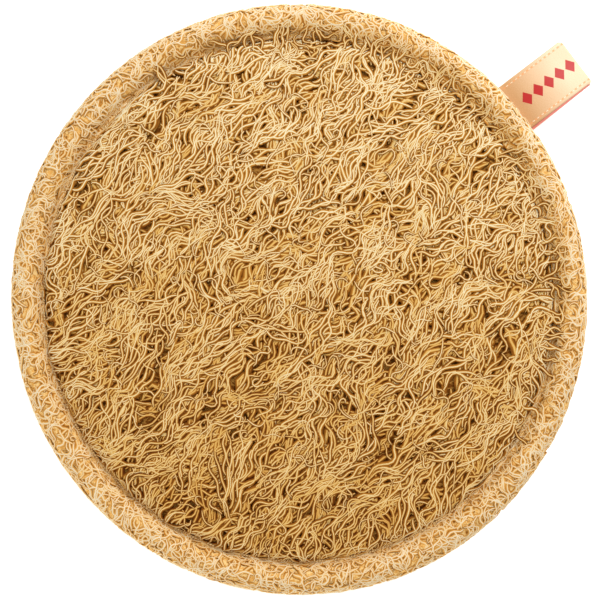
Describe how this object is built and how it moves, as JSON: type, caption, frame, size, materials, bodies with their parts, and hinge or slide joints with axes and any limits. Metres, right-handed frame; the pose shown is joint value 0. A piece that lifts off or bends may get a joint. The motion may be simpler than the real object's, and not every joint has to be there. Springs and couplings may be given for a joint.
{
  "type": "natural loofah sponge",
  "caption": "Round, domed bath sponge of natural loofah fibre with a sewn-on fibre rim band and a folded ribbon tag; lies flat on its back.",
  "frame": {"origin": "middle of the back face, on the plane that the sponge lies on", "axes": "+Z out of the front face, up when the sponge lies down; the ribbon tag points between +X and +Y"},
  "size_m": [0.1462, 0.1496, 0.0182],
  "materials": {
    "loofah_fibre": "matte",
    "loofah_rim": "matte",
    "ribbon_satin": "satin",
    "seam_thread": "matte"
  },
  "bodies": {
    "root": {"loofah_pad": "loofah_fibre", "rim_band": "loofah_rim", "ribbon_tag": "ribbon_satin", "stitch_ring_front": "seam_thread", "stitch_ring_back": "seam_thread"}
  },
  "joints": []
}
